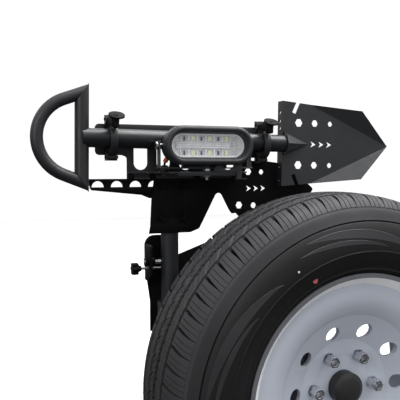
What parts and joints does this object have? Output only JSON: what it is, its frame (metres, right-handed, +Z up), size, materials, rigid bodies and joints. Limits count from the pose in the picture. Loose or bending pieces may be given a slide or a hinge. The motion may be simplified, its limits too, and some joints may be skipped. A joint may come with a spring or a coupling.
{
  "type": "spare tire carrier",
  "caption": "Hitch-mounted spare tire carrier with a slotted rack above the wheel that holds a shovel in quick-release clamps and an oval work light.",
  "frame": {"origin": "centre of the hitch pin hole through the shank", "axes": "+X along the pin hole and the shovel, towards the blade; +Y forward into the vehicle's receiver; +Z up"},
  "size_m": [1.0028, 0.5884, 1.0158],
  "materials": {
    "black_powder_coat": "satin, finely textured",
    "charcoal_coat": "satin",
    "orange_plastic": "matte",
    "gloss_black_tube": "gloss",
    "zinc_plated_steel": "semi-gloss",
    "black_plastic": "matte",
    "black_rubber": "matte",
    "tyre_rubber": "matte, ribbed tread and shoulder blocks",
    "silver_wheel": "satin",
    "clear_lens": "clear with moulded optics",
    "reflector_chrome": "bright, with lamp cups"
  },
  "bodies": {
    "carrier": {"hitch_shank": "black_powder_coat", "upright": "black_powder_coat", "upright_cap": "black_plastic", "shank_gussets": "black_powder_coat", "cross_arm": "black_powder_coat", "arm_plate": "black_powder_coat", "post_sleeve": "black_powder_coat", "post_set_screw": "zinc_plated_steel", "set_screw_nuts": "zinc_plated_steel", "stud_flange": "black_powder_coat", "wheel_standoff": "black_powder_coat", "wheel_studs": "zinc_plated_steel", "rim": "silver_wheel", "tyre": "tyre_rubber", "lug_nuts": "zinc_plated_steel", "centre_cap": "black_plastic", "valve_stem": "black_rubber", "valve_cap": "black_plastic"},
    "rack": {"post": "black_powder_coat", "post_foot_plug": "black_plastic", "lower_plate": "black_powder_coat", "back_plate": "black_powder_coat", "shelf": "black_powder_coat", "side_arm": "black_powder_coat", "rack_bolts": "black_powder_coat", "post_u_bolts": "black_powder_coat", "u_bolt_nuts": "black_powder_coat", "left_clamp_bracket": "black_powder_coat", "right_clamp_bracket": "black_powder_coat", "left_clamp_cradle": "black_rubber", "right_clamp_cradle": "black_rubber", "clamp_hinge_pins": "black_powder_coat", "clamp_catch_bars": "black_powder_coat", "handle_bow": "black_powder_coat", "handle_grip": "black_rubber", "shovel_shaft": "gloss_black_tube", "shovel_blade": "charcoal_coat", "blade_socket": "charcoal_coat", "light_bracket": "black_powder_coat", "light_support": "black_powder_coat", "light_bolt": "zinc_plated_steel", "light_nuts": "zinc_plated_steel", "light_lead": "black_rubber", "lead_sleeve": "orange_plastic", "lead_gland": "black_plastic"},
    "knob": {"star_knob": "black_plastic", "knob_stud": "zinc_plated_steel"},
    "left_strap": {"left_clamp_strap": "black_powder_coat", "left_strap_liner": "black_rubber", "left_lever_pin": "black_powder_coat"},
    "left_lever": {"left_clamp_lever": "black_plastic"},
    "right_strap": {"right_clamp_strap": "black_powder_coat", "right_strap_liner": "black_rubber", "right_lever_pin": "black_powder_coat"},
    "right_lever": {"right_clamp_lever": "black_plastic"},
    "light": {"light_bezel": "black_rubber", "light_housing": "black_plastic", "light_reflector": "reflector_chrome", "light_lens": "clear_lens", "light_pivot_bolts": "zinc_plated_steel"}
  },
  "joints": [
    {"name": "rack_height", "type": "slide", "parent": "carrier", "child": "rack", "axis": [0, 0, 1], "range_m": [0, 0.08]},
    {"name": "clamp_knob_turn", "type": "hinge", "parent": "carrier", "child": "knob", "pos_m": [-0.389, -0.20295, 0.567], "axis": [1, 0, 0], "range_deg": [-360, 0]},
    {"name": "left_strap_swing", "type": "hinge", "parent": "rack", "child": "left_strap", "pos_m": [-0.445, -0.242, 0.80175], "axis": [1, 0, 0], "range_deg": [0, 100]},
    {"name": "left_lever_swing", "type": "hinge", "parent": "left_strap", "child": "left_lever", "pos_m": [-0.445, -0.2586, 0.86975], "axis": [1, 0, 0], "range_deg": [-45, 0]},
    {"name": "right_strap_swing", "type": "hinge", "parent": "rack", "child": "right_strap", "pos_m": [-0.111, -0.242, 0.7974], "axis": [1, 0, 0], "range_deg": [0, 100]},
    {"name": "right_lever_swing", "type": "hinge", "parent": "right_strap", "child": "right_lever", "pos_m": [-0.111, -0.2586, 0.8654], "axis": [1, 0, 0], "range_deg": [-45, 0]},
    {"name": "light_tilt", "type": "hinge", "parent": "rack", "child": "light", "pos_m": [-0.261, -0.287, 0.8245], "axis": [1, 0, 0], "range_deg": [-15, 0], "deforming": ["light_lead"]}
  ]
}
